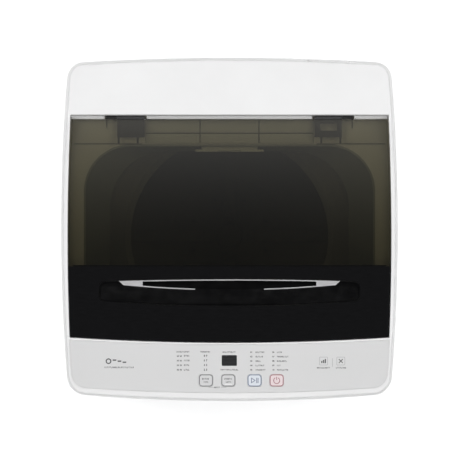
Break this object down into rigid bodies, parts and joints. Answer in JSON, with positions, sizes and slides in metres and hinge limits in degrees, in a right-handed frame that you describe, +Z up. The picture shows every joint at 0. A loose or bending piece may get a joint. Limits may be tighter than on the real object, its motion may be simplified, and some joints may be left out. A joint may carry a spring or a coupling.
{
  "type": "top load washing machine",
  "caption": "Top load washing machine with a smoked hinged lid, front console keys, suspended tub, perforated spin basket and belt driven pulsator.",
  "frame": {"origin": "on the floor, under the centre of the overall box", "axes": "+Z up, +X to the right of a user who stands at the front, +Y to the rear"},
  "size_m": [0.51, 0.5199, 0.89],
  "materials": {
    "cover_plastic": "light grey moulded plastic, satin",
    "panel_plastic": "light grey panel, satin",
    "key_plastic": "light grey keys, satin",
    "display_glass": "black gloss window",
    "board": "green circuit board",
    "white_plastic": "white inner mouldings",
    "grey_plastic": "mid grey mouldings",
    "smoked_glass": "smoked clear plastic, gloss",
    "black_gloss": "black gloss plastic",
    "black_plastic": "black plastic, satin",
    "chrome": "bright trim",
    "cabinet_paint": "light grey painted sheet steel",
    "rear_zinc": "galvanised sheet steel",
    "steel": "plain steel",
    "stainless": "stainless steel",
    "bearing_steel": "ground steel",
    "cast_alloy": "cast aluminium",
    "motor_paint": "black painted steel",
    "rubber": "black rubber",
    "grey_rubber": "grey rubber"
  },
  "bodies": {
    "cabinet": {"top_cover": "cover_plastic", "laundry_funnel": "cover_plastic", "control_panel": "panel_plastic", "display_window": "display_glass", "control_board": "board", "dispenser_housing": "white_plastic", "inlet_valve": "white_plastic", "pressure_switch": "white_plastic", "air_tube": "grey_rubber", "hinge_brackets": "black_plastic", "cabinet_shell": "cabinet_paint", "rear_panel": "rear_zinc", "rear_panel_screws": "steel", "side_grips": "cover_plastic", "base_frame": "grey_plastic", "rear_feet": "rubber", "foot_lock_nuts": "steel", "drain_outlet": "grey_plastic", "cord_gland": "black_plastic", "suspension_brackets": "rear_zinc", "suspension_rods": "steel", "suspension_springs": "steel", "inner_drain_hose": "grey_rubber"},
    "lid": {"lid_window": "smoked_glass", "lid_front_panel": "black_gloss", "handle_cup": "black_gloss", "handle_trim": "chrome", "hinge_arms": "black_plastic", "lid_bumpers": "rubber"},
    "drawer": {"detergent_drawer": "white_plastic"},
    "level_key": {"water_level_key": "key_plastic"},
    "program_key": {"program_key": "key_plastic"},
    "start_key": {"start_pause_key": "key_plastic"},
    "power_key": {"power_key": "key_plastic"},
    "left_foot": {"front_foot_left": "rubber"},
    "right_foot": {"front_foot_right": "rubber"},
    "tub_unit": {"outer_tub": "white_plastic", "tub_cover": "white_plastic", "damper_caps": "grey_plastic", "support_plate": "rear_zinc", "clutch_housing": "cast_alloy", "bearings": "bearing_steel", "tub_seal": "rubber", "wash_motor": "motor_paint", "drain_valve": "grey_plastic", "traction_motor": "black_plastic", "drive_belt": "rubber"},
    "basket": {"basket_wall": "stainless", "basket_base": "white_plastic", "balance_ring": "white_plastic", "basket_hub": "steel", "lint_filters": "white_plastic", "spin_shaft": "stainless"},
    "agitator": {"pulsator": "white_plastic", "wash_shaft": "stainless", "driven_pulley": "cast_alloy"},
    "motor_rotor": {"motor_pulley": "cast_alloy"},
    "drain_actuator": {"valve_plunger": "grey_rubber", "pull_rod": "steel"},
    "brake": {"brake_lever": "grey_plastic"}
  },
  "joints": [
    {"name": "lid_hinge", "type": "hinge", "parent": "cabinet", "child": "lid", "pos_m": [0, 0.1686, 0.866], "axis": [-1, 0, 0], "range_deg": [0, 95]},
    {"name": "drawer_slide", "type": "slide", "parent": "cabinet", "child": "drawer", "axis": [0, -1, 0], "range_m": [0, 0.065]},
    {"name": "water_level_press", "type": "slide", "parent": "cabinet", "child": "level_key", "axis": [0, 0.0854, -0.9963], "range_m": [0, 0.001], "stiffness_N_per_m": 400},
    {"name": "program_press", "type": "slide", "parent": "cabinet", "child": "program_key", "axis": [0, 0.0854, -0.9963], "range_m": [0, 0.001], "stiffness_N_per_m": 400},
    {"name": "start_pause_press", "type": "slide", "parent": "cabinet", "child": "start_key", "axis": [0, 0.0854, -0.9963], "range_m": [0, 0.001], "stiffness_N_per_m": 400},
    {"name": "power_press", "type": "slide", "parent": "cabinet", "child": "power_key", "axis": [0, 0.0854, -0.9963], "range_m": [0, 0.001], "stiffness_N_per_m": 400},
    {"name": "left_foot_turn", "type": "hinge", "parent": "cabinet", "child": "left_foot", "pos_m": [-0.203, -0.208, 0.02], "axis": [0, 0, 1], "continuous": true},
    {"name": "right_foot_turn", "type": "hinge", "parent": "cabinet", "child": "right_foot", "pos_m": [0.203, -0.208, 0.02], "axis": [0, 0, 1], "continuous": true},
    {"name": "suspension_travel", "type": "slide", "parent": "cabinet", "child": "tub_unit", "axis": [0, 0, 1], "range_m": [-0.03, 0.012], "stiffness_N_per_m": 8000, "springref_m": 0.0284, "deforming": ["suspension_springs", "inner_drain_hose", "air_tube"]},
    {"name": "basket_spin", "type": "hinge", "parent": "tub_unit", "child": "basket", "pos_m": [0, -0.01, 0.4], "axis": [0, 0, 1], "continuous": true},
    {"name": "pulsator_spin", "type": "hinge", "parent": "tub_unit", "child": "agitator", "pos_m": [0, -0.01, 0.27], "axis": [0, 0, 1], "continuous": true},
    {"name": "motor_spin", "type": "hinge", "parent": "tub_unit", "child": "motor_rotor", "pos_m": [-0.15, -0.01, 0.1], "axis": [0, 0, 1], "continuous": true},
    {"name": "drain_pull", "type": "slide", "parent": "tub_unit", "child": "drain_actuator", "axis": [0, -1, 0], "range_m": [0, 0.012], "stiffness_N_per_m": 300},
    {"name": "brake_release", "type": "hinge", "parent": "tub_unit", "child": "brake", "pos_m": [0.062, -0.032, 0.126], "axis": [0, 0, -1], "range_deg": [0, 12]}
  ],
  "couplings": [
    {"joint": "motor_spin", "follows": "pulsator_spin", "ratio": 4.36},
    {"joint": "brake_release", "follows": "drain_pull", "rad_per_m": 16}
  ]
}
